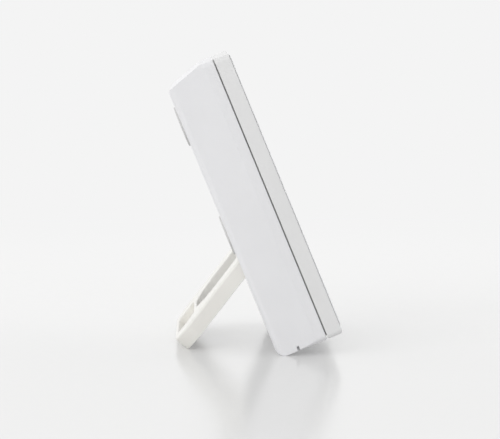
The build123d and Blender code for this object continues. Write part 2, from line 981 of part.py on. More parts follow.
def all_nodes():
    nodes = {
        "front_case": front_case(),
        "rear_case": rear_case(),
        "display_lens": display_lens(),
        "lcd_panel": lcd_panel(),
        "lcd_frame": lcd_frame(),
        "light_guide": light_guide(),
        "zebra_strips": zebra_strips(),
        "main_board": main_board(),
        "controller_chip": controller_chip(),
        "radio_module": radio_module(),
        "antenna": antenna(),
        "quartz_crystal": quartz_crystal(),
        "capacitors": capacitors(),
        "temperature_sensor": temperature_sensor(),
        "key_switches": key_switches(),
        "board_screws": board_screws(),
        "case_screws": case_screws(),
        "battery_cover": battery_cover(),
        "positive_contact": positive_contact(),
        "negative_contact": negative_contact(),
        "bridge_contact": bridge_contact(),
        "stand_leg": stand_leg(),
    }
    for name, x in key_places().items():
        nodes["button_" + name] = key_button(x)
        nodes["plunger_" + name] = key_plunger(x)
    for name, z in cell_places().items():
        nodes["battery_" + name] = cell(z, 1 if name == "lower" else -1)
    for name, places in pad_places().items():
        nodes["rear_pads_" + name] = rear_pads(places)
    return nodes


def placed(place, node):
    if isinstance(node, list):
        return Compound([place * solid for solid in node])
    return place * node


def stance(nodes):
    tilt = Rot(-lean_angle(), 0, 0)
    outside = ("front_case", "rear_case", "display_lens", "stand_leg")
    box = Compound([tilt * nodes[name] for name in outside]).bounding_box()
    return Pos(0, -box.center().Y, -box.min.Z) * tilt


def report_place(label, place, point):
    spot = (place * Pos(*point)).position
    print(label, [round(value / 1000, 6) for value in spot])


def main():
    os.makedirs("parts", exist_ok=True)
    nodes = all_nodes()
    place = stance(nodes)
    for name, node in nodes.items():
        export_step(placed(place, node), f"parts/{name}.step")
    print("lean", lean_angle())
    report_place("leg pivot", place, (0, pivot_y, pivot_z))
    report_place("cover hinge", place, (0, hinge_y, hinge_z))
    report_place("keyhole", place, (0, case_depth - wall / 2, keyhole_z))
    report_place("wall face", place, (-pad_x, case_depth + pad_proud, pad_high_z))
    inward = place * Pos(0, 1, 0)
    origin = place * Pos(0, 0, 0)
    print("press axis", tuple(inward.position - origin.position))


main()
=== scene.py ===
import bpy
import json
import math
import numpy as np
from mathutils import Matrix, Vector


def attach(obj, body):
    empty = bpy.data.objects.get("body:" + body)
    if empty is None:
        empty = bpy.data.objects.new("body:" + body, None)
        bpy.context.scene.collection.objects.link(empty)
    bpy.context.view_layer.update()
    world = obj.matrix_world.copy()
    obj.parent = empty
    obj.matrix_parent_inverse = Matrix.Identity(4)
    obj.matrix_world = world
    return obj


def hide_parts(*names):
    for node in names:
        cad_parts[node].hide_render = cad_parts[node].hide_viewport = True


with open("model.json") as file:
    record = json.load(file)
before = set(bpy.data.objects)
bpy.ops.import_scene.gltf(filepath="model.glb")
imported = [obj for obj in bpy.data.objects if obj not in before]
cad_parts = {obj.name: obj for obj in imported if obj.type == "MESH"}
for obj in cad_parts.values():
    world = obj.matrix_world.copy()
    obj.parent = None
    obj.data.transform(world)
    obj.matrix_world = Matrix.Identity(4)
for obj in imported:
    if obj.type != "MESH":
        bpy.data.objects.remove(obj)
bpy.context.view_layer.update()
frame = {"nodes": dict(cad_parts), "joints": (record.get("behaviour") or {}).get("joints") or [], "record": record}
scene = bpy.context.scene
scene.view_settings.view_transform = "Standard"
print("frame loaded:", len(frame["nodes"]), "nodes")


# The case leans back, so it has axes of its own: across it, into it and up it.

joints = {joint["name"]: joint for joint in frame["joints"]}
inward = np.array(joints["key_set_press"]["axis"])
caseAxes = np.array([[1.0, 0.0, 0.0], inward, [0.0, -inward[2], inward[1]]])
lean = math.atan2(-inward[2], inward[1])


def leaningBox(node):
    # lowest and highest corner of a node along the case's own axes
    mesh = frame["nodes"][node].data
    spots = np.zeros(len(mesh.vertices) * 3, np.float32)
    mesh.vertices.foreach_get("co", spots)
    turned = spots.reshape(-1, 3) @ caseAxes.T
    return turned.min(0), turned.max(0)


lensLow, lensHigh = leaningBox("display_lens")
shellLow, shellHigh = leaningBox("rear_case")
caseOrigin = np.array([0.0, lensLow[1], shellLow[2]])


def fromCase(points):
    # millimetres from the case's front plane and bottom, turned into the frame in metres
    return (np.asarray(points, float) / 1000 + caseOrigin) @ caseAxes


# Shader maths

class Wire:
    # one socket of a material; a sum, product or comparison on it adds a Math node
    def __init__(self, finish, socket):
        self.finish = finish
        self.socket = socket

    def math(self, operation, *terms):
        return self.finish.node("ShaderNodeMath", {"operation": operation}, dict(enumerate(terms)))

    def __add__(self, other):
        return self.math("ADD", self, other)

    def __radd__(self, other):
        return self.math("ADD", other, self)

    def __sub__(self, other):
        return self.math("SUBTRACT", self, other)

    def __rsub__(self, other):
        return self.math("SUBTRACT", other, self)

    def __mul__(self, other):
        return self.math("MULTIPLY", self, other)

    def __rmul__(self, other):
        return self.math("MULTIPLY", other, self)

    def __gt__(self, other):
        return self.math("GREATER_THAN", self, other)

    def __lt__(self, other):
        return self.math("LESS_THAN", self, other)

    def __abs__(self):
        return self.math("ABSOLUTE", self)


class Finish:
    # one material, or the sky's nodes, and the wires that lead to its surface
    def __init__(self, name="", tree=None):
        self.material = None
        if tree is None:
            self.material = bpy.data.materials.new(name)
            self.material.use_nodes = True
            tree = self.material.node_tree
        self.tree = tree
        self.tree.nodes.clear()
        self.places = self.node("ShaderNodeTexCoord", {}, {}, "Object")

    def node(self, kind, settings, inputs, output=0):
        made = self.tree.nodes.new(kind)
        for name, value in settings.items():
            if name == "stops":
                self.setStops(made.color_ramp, value)
            else:
                setattr(made, name, value)
        for key, value in inputs.items():
            self.feed(made.inputs[key], value)
        return None if output is None else Wire(self, made.outputs[output])

    def feed(self, socket, value):
        if isinstance(value, Wire):
            self.tree.links.new(value.socket, socket)
        else:
            socket.default_value = value

    def setStops(self, ramp, stops):
        while len(ramp.elements) < len(stops):
            ramp.elements.new(0.5)
        for element, (place, colour) in zip(ramp.elements, stops):
            element.position = place
            element.color = colour

    def casePlaces(self):
        # the same places along the case's own axes
        turn = {"Location": -caseOrigin, "Rotation": (lean, 0.0, 0.0)}
        return self.node("ShaderNodeMapping", {}, {"Vector": self.places, **turn})

    def noise(self, scale, detail=2.0, places=None):
        settings = {"Vector": places or self.places, "Scale": scale, "Detail": detail}
        return self.node("ShaderNodeTexNoise", {}, settings, "Fac")

    def split(self, vector):
        parts = self.node("ShaderNodeSeparateXYZ", {}, {"Vector": vector}).socket.node
        return [Wire(self, parts.outputs[axis]) for axis in ("X", "Y", "Z")]

    def blend(self, amount, first, second):
        # a colour between two colours
        return self.node("ShaderNodeMix", {"data_type": "RGBA"}, {0: amount, 6: first, 7: second}, 2)

    def ramp(self, amount, low, high):
        # 0 below low, 1 above high, and smooth between them
        settings = {"interpolation_type": "SMOOTHSTEP", "clamp": True}
        return self.node("ShaderNodeMapRange", settings, {"Value": amount, "From Min": low, "From Max": high})

    def bump(self, height, depth, normal=None):
        # depth is in metres; a soft edge comes first where it is given
        inputs = {"Height": height, "Strength": 1.0, "Distance": depth}
        if normal is not None:
            inputs["Normal"] = normal
        return self.node("ShaderNodeBump", {}, inputs)

    def softEdge(self, radius):
        return self.node("ShaderNodeBevel", {"samples": 6}, {"Radius": radius})

    def plain(self, inputs):
        return self.node("ShaderNodeBsdfPrincipled", {}, inputs)

    def finishWith(self, surface):
        output = self.tree.nodes.new("ShaderNodeOutputMaterial")
        self.tree.links.new(surface.socket, output.inputs["Surface"])
        return self.material


# Finishes

def mouldedPlastic(name, look):
    # satin moulding: a faint cloud in the colour, and a fine sparked grain in the gloss and the relief
    finish = Finish(name)
    cloud = finish.ramp(finish.noise(look["cloudScale"], 3.0), *look["cloudRange"])
    colour = finish.blend(cloud, look["colour"], look["shade"])
    if "lipStart" in look:
        # painted shade: the lip at the bottom of the shadow gap takes a darker colour that stands in for the shadow
        # in the groove; the mask is 1 where it lies deeper than its start
        depth = finish.split(finish.casePlaces())[1]
        colour = finish.blend(depth > look["lipStart"], colour, look["lipPaintedShade"])
    grain = finish.noise(look["grainScale"], 4.0)
    rough = (grain - 0.5) * look["roughSpread"] + look["roughness"]
    normal = finish.bump(grain, look["grainDepth"], finish.softEdge(look["edge"]))
    surface = finish.plain({"Base Color": colour, "Roughness": rough, "Normal": normal})
    return finish.finishWith(surface)


shellLook = {
    "colour": (0.83, 0.83, 0.845, 1),
    "shade": (0.815, 0.815, 0.83, 1),
    "cloudScale": 45.0,
    "cloudRange": (0.3, 0.7),
    "grainScale": 2600.0,
    "grainDepth": 0.0000035,
    "roughness": 0.42,
    "roughSpread": 0.10,
    "edge": 0.00022,
}
# painted shade: the front case is the same white plastic as the shell, in a slightly darker copy of its colour that
# stands in for the shade on its side
frontLook = dict(
    shellLook,
    colour=(0.80, 0.80, 0.80, 1),
    shade=(0.785, 0.785, 0.785, 1),
    # painted shade for the seam groove: deeper than lipStart the front case takes this darker colour
    lipStart=0.00637,
    lipPaintedShade=(0.50, 0.50, 0.49, 1),
)
legLook = dict(shellLook, colour=(0.85, 0.84, 0.80, 1), shade=(0.835, 0.82, 0.78, 1), roughness=0.38, edge=0.0003)
keyLook = dict(
    shellLook,
    colour=(0.80, 0.805, 0.82, 1),
    shade=(0.79, 0.795, 0.81, 1),
    roughness=0.3,
    grainDepth=0.0000015,
    edge=0.0002,
)
frameLook = dict(shellLook, colour=(0.86, 0.86, 0.84, 1), shade=(0.84, 0.84, 0.82, 1), edge=0.0001)
blackLook = dict(
    shellLook,
    colour=(0.02, 0.02, 0.022, 1),
    shade=(0.03, 0.03, 0.032, 1),
    roughness=0.5,
    grainDepth=0.000005,
    edge=0.0001,
)
rubberLook = dict(
    shellLook,
    colour=(0.66, 0.66, 0.655, 1),
    shade=(0.61, 0.61, 0.605, 1),
    roughness=0.72,
    grainScale=1800.0,
    grainDepth=0.00001,
    edge=0.0002,
)
stripLook = dict(rubberLook, colour=(0.04, 0.04, 0.045, 1), shade=(0.07, 0.07, 0.075, 1))


def clearPlastic():
    # see-through sheet: glass to the eye, open to the lamps; its sawn edges get an opaque grey that is painted shade
    # for how dark a clear sheet's edges look
    finish = Finish("clearPlastic")
    look = {
        "tint": (0.96, 0.97, 0.975, 1),
        "edgePaintedShade": (0.65, 0.65, 0.655, 1),
        "waveScale": 60.0,
        "waveDepth": 0.000002,
        "polish": 0.02,
        "sawnRoughness": 0.3,
        "bending": 1.49,
        "sawnBelow": 0.5,
    }
    wave = finish.noise(look["waveScale"], 1.0)
    normal = finish.bump(wave, look["waveDepth"])
    glass = finish.plain({
        "Base Color": look["tint"],
        "Roughness": look["polish"] + wave * look["polish"],
        "IOR": look["bending"],
        "Transmission Weight": 1.0,
        "Normal": normal,
    })
    opening = finish.node("ShaderNodeBsdfTransparent", {}, {"Color": look["tint"]})
    lamp = finish.node("ShaderNodeLightPath", {}, {}, "Is Shadow Ray")
    pane = finish.node("ShaderNodeMixShader", {}, {0: lamp, 1: glass, 2: opening})
    facing = finish.node("ShaderNodeVectorMath", {"operation": "DOT_PRODUCT"}, {
        0: finish.node("ShaderNodeNewGeometry", {}, {}, "True Normal"),
        1: tuple(inward),
    }, "Value")
    # the wide faces look along the case's depth, and the sawn ones across it
    sawn = abs(facing) < look["sawnBelow"]
    # painted shade: the grey on the sawn edges stands in for the darkening that light bent inside the sheet gives
    # them
    edge = finish.plain({"Base Color": look["edgePaintedShade"], "Roughness": look["sawnRoughness"] + wave * 0.1})
    return finish.finishWith(finish.node("ShaderNodeMixShader", {}, {0: sawn, 1: pane, 2: edge}))


def metalSkin(name, look):
    # plated metal: brushed along one axis, with dull patches
    finish = Finish(name)
    drawn = finish.node("ShaderNodeMapping", {}, {"Vector": finish.places, "Scale": look["brush"]})
    scratch = finish.noise(look["scratchScale"], 3.0, drawn)
    patch = finish.ramp(finish.noise(look["patchScale"], 2.0), *look["patchRange"])
    colour = finish.blend(patch, look["colour"], look["dull"])
    rough = scratch * look["roughSpread"] + look["roughness"] + patch * look["patchRough"]
    normal = finish.bump(scratch, look["scratchDepth"], finish.softEdge(look["edge"]))
    surface = finish.plain({"Base Color": colour, "Metallic": 1.0, "Roughness": rough, "Normal": normal})
    return finish.finishWith(surface)


steelLook = {
    "colour": (0.62, 0.62, 0.63, 1),
    "dull": (0.50, 0.50, 0.50, 1),
    "brush": (1.0, 8.0, 1.0),
    "scratchScale": 1400.0,
    "scratchDepth": 0.000002,
    "patchScale": 300.0,
    "patchRange": (0.35, 0.7),
    "patchRough": 0.06,
    "roughness": 0.22,
    "roughSpread": 0.16,
    "edge": 0.0001,
}
springLook = dict(steelLook, colour=(0.74, 0.73, 0.70, 1), dull=(0.62, 0.61, 0.58, 1), roughness=0.18)
tinLook = dict(steelLook, colour=(0.70, 0.70, 0.68, 1), dull=(0.58, 0.58, 0.57, 1), roughness=0.30)


def boardLaminate():
    # solder mask over copper: tracks stand a little proud and lighter, with gold pads between
    finish = Finish("boardLaminate")
    look = {
        "mask": (0.012, 0.10, 0.045, 1),
        "track": (0.02, 0.17, 0.07, 1),
        "gold": (0.75, 0.55, 0.22, 1),
        "trackPitch": 1800.0,
        "turnScale": 90.0,
        "turnReach": 0.01,
        "padPitch": 380.0,
        "weaveScale": 1500.0,
        "relief": 0.00003,
        "trackRange": (0.55, 0.7),
        "padRange": (0.12, 0.10),
        "goldShare": 0.8,
        "roughness": 0.32,
    }
    x = finish.split(finish.casePlaces())[0]
    turns = finish.noise(look["turnScale"], 0.0)
    weave = finish.noise(look["weaveScale"], 2.0)
    # a sine across the board, bent by noise, is cut off below its crests
    bent = (x + turns * look["turnReach"]) * look["trackPitch"]
    lane = finish.node("ShaderNodeMath", {"operation": "SINE"}, {0: bent})
    track = finish.ramp(lane, *look["trackRange"])
    cells = finish.node("ShaderNodeTexVoronoi", {}, {"Vector": finish.places, "Scale": look["padPitch"]}, "Distance")
    # the range runs backwards, so a pad is 1 at the middle of its cell
    pad = finish.ramp(cells, *look["padRange"]) * look["goldShare"]
    colour = finish.blend(track, look["mask"], look["track"])
    colour = finish.blend(pad, colour, look["gold"])
    normal = finish.bump(track + weave * 0.2, look["relief"])
    surface = finish.plain({
        "Base Color": colour,
        "Metallic": pad,
        "Roughness": look["roughness"] + weave * 0.1,
        "Normal": normal,
    })
    return finish.finishWith(surface)


def displayGlass():
    # reflective polariser: greenish grey, a little lighter at the top, with a pearly fleck
    finish = Finish("displayGlass")
    look = {
        "low": (0.40, 0.435, 0.385, 1),
        "high": (0.455, 0.485, 0.435, 1),
        "fleck": (0.10, 0.11, 0.10, 1),
        "fleckScale": 5200.0,
        "fleckShare": 0.06,
        "fleckDepth": 0.000002,
        "roughness": 0.26,
        "roughSpread": 0.12,
    }
    lowest, highest = leaningBox("lcd_panel")
    z = finish.split(finish.casePlaces())[2]
    base = lowest[2] - caseOrigin[2]
    rise = finish.ramp(z, base, base + highest[2] - lowest[2])
    fleck = finish.noise(look["fleckScale"], 2.0)
    colour = finish.blend(rise, look["low"], look["high"])
    colour = finish.blend(fleck * look["fleckShare"], colour, look["fleck"])
    surface = finish.plain({
        "Base Color": colour,
        "Roughness": look["roughness"] + fleck * look["roughSpread"],
        "Normal": finish.bump(fleck, look["fleckDepth"]),
    })
    return finish.finishWith(surface)


def cellJacket():
    # a printed film round the can, in two bands, with bare metal at both ends
    finish = Finish("cellJacket")
    look = {
        "film": (0.055, 0.12, 0.16, 1),
        "band": (0.55, 0.56, 0.57, 1),
        "metal": (0.70, 0.70, 0.69, 1),
        "filmEnd": 0.0213,
        "bandInner": 0.0105,
        "bandOuter": 0.0125,
        "grainScale": 1200.0,
        "grainDepth": 0.000002,
        "roughness": 0.26,
        "coat": 0.4,
        "edge": 0.0003,
    }
    reach = abs(finish.split(finish.places)[0])
    bare = reach > look["filmEnd"]
    band = (reach > look["bandInner"]) * (reach < look["bandOuter"])
    grain = finish.noise(look["grainScale"], 3.0)
    colour = finish.blend(band, look["film"], look["band"])
    colour = finish.blend(bare, colour, look["metal"])
    surface = finish.plain({
        "Base Color": colour,
        "Metallic": bare,
        "Roughness": look["roughness"] + grain * 0.1,
        "Coat Weight": look["coat"] - bare * look["coat"],
        "Normal": finish.bump(grain, look["grainDepth"], finish.softEdge(look["edge"])),
    })
    return finish.finishWith(surface)


inkLook = {"grainScale": 3500.0, "grainDepth": 0.0000015, "grainShare": 0.5, "lift": 1.25, "roughSpread": 0.08}


def inkFilm(name, colour, roughness):
    # printed or inlaid ink, with a trace of screen grain in a lighter tone of its colour
    finish = Finish(name)
    grain = finish.noise(inkLook["grainScale"], 2.0)
    lighter = tuple(min(part * inkLook["lift"] + 0.01, 1.0) for part in colour[:3]) + (1,)
    surface = finish.plain({
        "Base Color": finish.blend(grain * inkLook["grainShare"], colour, lighter),
        "Roughness": roughness + grain * inkLook["roughSpread"],
        "Normal": finish.bump(grain, inkLook["grainDepth"]),
    })
    return finish.finishWith(surface)


materials = {
    "white_shell": mouldedPlastic("shellPlastic", shellLook),
    "leg_plastic": mouldedPlastic("legPlastic", legLook),
    "key_plastic": mouldedPlastic("keyPlastic", keyLook),
    "white_plastic": mouldedPlastic("framePlastic", frameLook),
    "black_plastic": mouldedPlastic("blackEpoxy", blackLook),
    "grey_rubber": mouldedPlastic("greyRubber", rubberLook),
    "dark_rubber": mouldedPlastic("darkRubber", stripLook),
    "window_plastic": clearPlastic(),
    "lcd_glass": displayGlass(),
    "board_laminate": boardLaminate(),
    "steel": metalSkin("zincSteel", steelLook),
    "spring_metal": metalSkin("nickelSpring", springLook),
    "tin_plate": metalSkin("tinPlate", tinLook),
    "cell_jacket": cellJacket(),
}
materials["clear_guide"] = materials["window_plastic"]
# painted shade: the front case gets its own darker copy of the shell plastic
ownMaterials = {"front_case": mouldedPlastic("frontPlastic", frontLook)}

for part in frame["record"]["subparts"]:
    mesh = frame["nodes"][part["node"]].data
    mesh.materials.clear()
    mesh.materials.append(ownMaterials.get(part["node"], materials[part["material_slot"]]))


# Pieces

def addPiece(name, points, faces, material, body, smooth=False):
    # points are case millimetres; the piece rides on a body of the frame
    mesh = bpy.data.meshes.new(name)
    mesh.from_pydata(fromCase(points).tolist(), [], faces)
    mesh.polygons.foreach_set("use_smooth", [smooth] * len(mesh.polygons))
    mesh.materials.append(material)
    mesh.update()
    piece = bpy.data.objects.new(name, mesh)
    scene.collection.objects.link(piece)
    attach(piece, body)
    return piece


def prism(outline, front, back):
    # a closed outline of (x, z) points between two depths; walls are quads and the ends many-sided faces
    outline = np.asarray(outline, float)
    count = len(outline)
    layers = [np.insert(outline, 1, depth, axis=1) for depth in (front, back)]
    steps = np.arange(count)
    onward = (steps + 1) % count
    walls = np.stack([steps, steps + count, onward + count, onward], 1).tolist()
    return np.concatenate(layers), walls + [steps.tolist(), (steps[::-1] + count).tolist()]


def joined(parts):
    # several (points, faces) as one
    points = []
    faces = []
    start = 0
    for spots, corners in parts:
        points.append(spots)
        faces += [[corner + start for corner in face] for face in corners]
        start += len(spots)
    return np.concatenate(points), faces


# Display: seven bars make a digit, each bar a six-sided prism, all leaning to the right

displayLook = {
    "slant": 0.09,
    "barGap": 0.22,
    "inkDepth": 0.02,
    "ghost": (0.36, 0.39, 0.345, 1),
    "ink": (0.02, 0.024, 0.022, 1),
    "bigHeight": 21.0,
    "bigWidth": 11.0,
    "bigBar": 2.5,
    "smallHeight": 6.2,
    "smallWidth": 3.5,
    "smallBar": 0.85,
    "bigPitch": 13.6,
    "smallPitch": 5.0,
    "room": ("21.5", -22.0, -10.5),
    "time": ("10:42", -27.5, 12.6),
    "chosen": ("20.0", 10.6, -18.8),
    "degree": (23.6, 8.6, 0.75, 1.35),
    "unit": (21.6, -1.2),
    "unitShare": 0.9,
    "ghostSink": 0.012,
    "pointBack": 0.1,
    "pointShift": 0.08,
    "pointPitch": 0.22,
    "colonHeights": (0.3, 0.7),
    "colonShift": 0.12,
    "colonPitch": 0.42,
}
digitBars = {
    "0": "abcdef", "1": "bc", "2": "abdeg", "3": "abcdg", "4": "bcfg",
    "5": "acdfg", "6": "acdefg", "7": "abc", "8": "abcdefg", "9": "abcdfg", "C": "adef",
}


def barOutline(start, end, thickness, gap):
    # a bar from start to end with pointed ends
    start = np.asarray(start, float)
    end = np.asarray(end, float)
    along = (end - start) / np.linalg.norm(end - start)
    side = np.array([-along[1], along[0]]) * thickness / 2
    start = start + along * gap
    end = end - along * gap
    taper = along * thickness / 2
    return np.array([start, start + taper - side, end - taper - side, end, end - taper + side, start + taper + side])


def digitOutlines(x, z, width, height, thickness, bars):
    # x, z is the lower left corner
    left = thickness / 2
    right = width - thickness / 2
    low = thickness / 2
    middle = height / 2
    high = height - thickness / 2
    ends = {
        "a": ((left, high), (right, high)),
        "b": ((right, high), (right, middle)),
        "c": ((right, middle), (right, low)),
        "d": ((left, low), (right, low)),
        "e": ((left, middle), (left, low)),
        "f": ((left, high), (left, middle)),
        "g": ((left, middle), (right, middle)),
    }
    outlines = []
    for bar in bars:
        outline = barOutline(*ends[bar], thickness, displayLook["barGap"] * thickness / 2)
        outline[:, 0] += x + outline[:, 1] * displayLook["slant"]
        outline[:, 1] += z
        outlines.append(outline)
    return outlines


def ringOutlines(x, z, inner, outer, steps=28):
    # a ring as a row of four-sided blocks
    angles = np.linspace(0, 2 * math.pi, steps + 1)
    turn = np.stack([np.cos(angles), np.sin(angles)], 1)
    return [
        np.array([turn[k] * inner, turn[k] * outer, turn[k + 1] * outer, turn[k + 1] * inner]) + (x, z)
        for k in range(steps)
    ]


def closedSheet(front, back, wrapped=False):
    # two grids of points become one thin closed skin; a wrapped one joins its last column to its first.
    # Seen from outside, columns run to the right and rows upwards.
    rows, columns = front.shape[:2]
    index = np.arange(rows * columns).reshape(rows, columns)
    if wrapped:
        index = np.concatenate([index, index[:, :1]], 1)
    quads = np.stack([index[:-1, :-1], index[:-1, 1:], index[1:, 1:], index[1:, :-1]], -1).reshape(-1, 4)
    rims = [index[0], index[-1][::-1]]
    if not wrapped:
        rims += [index[:, -1], index[::-1, 0]]
    far = rows * columns
    faces = [quads, quads[:, ::-1] + far]
    faces += [np.stack([rim[1:], rim[:-1], rim[:-1] + far, rim[1:] + far], -1) for rim in rims]
    points = np.concatenate([front.reshape(-1, 3), back.reshape(-1, 3)])
    return points, np.concatenate(faces).tolist()


def roundedPath(x, z, width, height, radius, steps=10):
    # anticlockwise round a rectangle whose corners are quarter circles
    angles = np.linspace(0, math.pi / 2, steps)
    runs = []
    for turn, (right, up) in enumerate([(1, 1), (-1, 1), (-1, -1), (1, -1)]):
        swing = angles + turn * math.pi / 2
        middle = (x + right * (width / 2 - radius), z + up * (height / 2 - radius))
        runs.append(np.stack([np.cos(swing), np.sin(swing)], 1) * radius + middle)
    return np.concatenate(runs)


def bandSheet(outer, inner, front, back):
    # flat film between two closed paths with as many points each
    flat = np.stack([outer, inner])
    return closedSheet(np.insert(flat, 1, front, axis=2), np.insert(flat, 1, back, axis=2), True)


def squareOutline(x, z, size):
    half = size / 2
    return np.array([[x - half, z - half], [x + half, z - half], [x + half, z + half], [x - half, z + half]])


def orient(outline):
    # outlines run clockwise as seen from the front, so that faces point outwards
    area = np.sum(outline[:, 0] * np.roll(outline[:, 1], -1) - np.roll(outline[:, 0], -1) * outline[:, 1])
    return outline[::-1] if area > 0 else outline


def addInk(name, outlines, front, back, material, body):
    parts = [prism(orient(outline), front, back) for outline in outlines]
    points, faces = joined(parts)
    return addPiece(name, points, faces, material, body)


glassLow, glassHigh = leaningBox("lcd_panel")
glassFront = (glassLow[1] - caseOrigin[1]) * 1000
windowZ = ((glassLow[2] + glassHigh[2]) / 2 - caseOrigin[2]) * 1000
big = displayLook["bigHeight"], displayLook["bigWidth"], displayLook["bigBar"]
small = displayLook["smallHeight"], displayLook["smallWidth"], displayLook["smallBar"]


def numberOutlines(words, size, pitch, ghosts):
    # words holds the marks and where the lowest left corner stands from the window's middle
    look = displayLook
    text, x, rise = words
    z = windowZ + rise
    height, width, thickness = size
    outlines = []
    for mark in text:
        if mark == ".":
            spot = x - pitch * look["pointBack"] + width * look["pointShift"]
            outlines.append(squareOutline(spot, z + thickness / 2, thickness))
            x += pitch * look["pointPitch"]
        elif mark == ":":
            for share in look["colonHeights"]:
                spot = x + width * look["colonShift"] + height * share * look["slant"]
                outlines.append(squareOutline(spot, z + height * share, thickness))
            x += pitch * look["colonPitch"]
        else:
            bars = digitBars["8"] if ghosts else digitBars[mark]
            outlines += digitOutlines(x, z, width, height, thickness, bars)
            x += pitch
    return outlines


def displayOutlines(ghosts):
    look = displayLook
    outlines = numberOutlines(look["room"], big, look["bigPitch"], ghosts)
    x, rise, inner, outer = look["degree"]
    outlines += ringOutlines(x, windowZ + rise, inner, outer)
    x, rise = look["unit"]
    height, width, thickness = [value * look["unitShare"] for value in small]
    outlines += digitOutlines(x, windowZ + rise, width, height, thickness, digitBars["C"])
    for words in (look["time"], look["chosen"]):
        outlines += numberOutlines(words, small, look["smallPitch"], ghosts)
    return outlines


inkFront = glassFront - displayLook["inkDepth"]
ghostInk = inkFilm("ghostInk", displayLook["ghost"], 0.3)
digitInk = inkFilm("digitInk", displayLook["ink"], 0.25)
ghostFront = inkFront + displayLook["ghostSink"]
addInk("displayGhosts", displayOutlines(True), ghostFront, glassFront, ghostInk, "case")
addInk("displayDigits", displayOutlines(False), inkFront, glassFront, digitInk, "case")
print("display drawn")


# Clear front plate: white print covers its back, with a grey line round the window

printLook = {
    "opening": (59.4, 41.4, 1.4),
    "line": (61.2, 43.2, 2.3),
    "thickness": 0.04,
    "inset": 0.2,
    "keyHole": (17.7, 9.7, 4.8),
    "split": 41.0,
    "keySplit": 12.0,
    "lineInk": (0.33, 0.34, 0.35, 1),
    "white": (0.84, 0.84, 0.85, 1),
    "fieldCorner": 0.02,
}


def addPrint():
    look = printLook
    back = (lensHigh[1] - lensLow[1]) * 1000
    front = back - look["thickness"]
    right = lensHigh[0] * 1000 - look["inset"]
    low = (lensLow[2] - caseOrigin[2]) * 1000 + look["inset"]
    high = (lensHigh[2] - caseOrigin[2]) * 1000 - look["inset"]
    line = roundedPath(0, windowZ, *look["line"])
    opening = roundedPath(0, windowZ, *look["opening"])
    points, faces = bandSheet(line, opening, front, back)
    addPiece("windowLine", points, faces, inkFilm("lineInk", look["lineInk"], 0.35), "case")
    # four cells cover the plate: one round the window and one round each key
    corner = look["fieldCorner"]
    field = roundedPath(0, (look["split"] + high) / 2, 2 * right, high - look["split"], corner)
    parts = [bandSheet(field, line, front, back)]
    edges = [-right, -look["keySplit"], look["keySplit"], right]
    for key, left, onward in zip(("minus", "set", "plus"), edges, edges[1:]):
        lowest, highest = (spot * 1000 for spot in leaningBox("button_" + key))
        keyZ = (lowest[2] + highest[2]) / 2 - caseOrigin[2] * 1000
        hole = roundedPath((lowest[0] + highest[0]) / 2, keyZ, *look["keyHole"])
        middle = ((left + onward) / 2, (low + look["split"]) / 2)
        cell = roundedPath(*middle, onward - left, look["split"] - low, corner)
        parts.append(bandSheet(cell, hole, front, back))
    points, faces = joined(parts)
    addPiece("whitePrint", points, faces, inkFilm("whiteInk", look["white"], 0.4), "case")


addPrint()
print("plate printed")


# Keys: signs printed in the hollow of each cap

signLook = {
    "capReach": 8.5,
    "hollow": 0.3,
    "thickness": 0.02,
    "long": 5.2,
    "wide": 0.8,
    "ringOuter": 2.2,
    "ringInner": 1.45,
    "ink": (0.13, 0.14, 0.15, 1),
}


def hollowDepth(x):
    # an arc across the cap: deepest in the middle, nothing at the cap's two ends
    reach, hollow = signLook["capReach"], signLook["hollow"]
    radius = (reach * reach + hollow * hollow) / (2 * hollow)
    return hollow - radius + np.sqrt(radius * radius - x * x)


def signSheet(x, z, keyX, keyZ, wrapped=False):
    # x and z are grids about the cap's middle; the film follows the hollow
    depth = hollowDepth(x)
    front = np.stack([x + keyX, depth - signLook["thickness"], z + keyZ], -1)
    back = np.stack([x + keyX, depth + signLook["thickness"], z + keyZ], -1)
    return closedSheet(front, back, wrapped)


def barSign(keyX, keyZ, left, right, low, high):
    x, z = np.meshgrid(np.linspace(left, right, 9), np.linspace(low, high, 3))
    return signSheet(x, z, keyX, keyZ)


def ringSign(keyX, keyZ, steps=48):
    angle, radius = np.meshgrid(
        np.linspace(0, 2 * math.pi, steps, endpoint=False),
        [signLook["ringOuter"], signLook["ringInner"]],
    )
    return signSheet(radius * np.cos(angle), radius * np.sin(angle), keyX, keyZ, True)


def addSigns():
    ink = inkFilm("signInk", signLook["ink"], 0.35)
    half, bar = signLook["long"] / 2, signLook["wide"] / 2
    for name in ("minus", "set", "plus"):
        low, high = leaningBox("button_" + name)
        middle = ((low + high) / 2 - caseOrigin) * 1000
        keyX, keyZ = middle[0], middle[2]
        if name == "set":
            parts = [ringSign(keyX, keyZ)]
        else:
            parts = [barSign(keyX, keyZ, -half, half, -bar, bar)]
        if name == "plus":
            parts += [barSign(keyX, keyZ, -bar, bar, bar, half), barSign(keyX, keyZ, -bar, bar, -half, -bar)]
        points, faces = joined(parts)
        addPiece("sign_" + name, points, faces, ink, "key_" + name)


addSigns()
print("keys signed")


# Battery door: ridges for the thumb on the latch, and an arrow that shows which way it opens

doorLook = {
    "ridges": 4,
    "pitch": 1.3,
    "ridgeShare": 0.72,
    "ridgeWidth": 8.4,
    "ridgeHeight": 0.3,
    "ridgeFade": 8,
    "fromTop": 1.5,
    "arrowDrop": 10.5,
    "arrowSize": 1.9,
    "arrowTall": 1.5,
    "arrowProud": 0.15,
    "arrowSlope": 0.2,
    "sunk": 0.2,
}


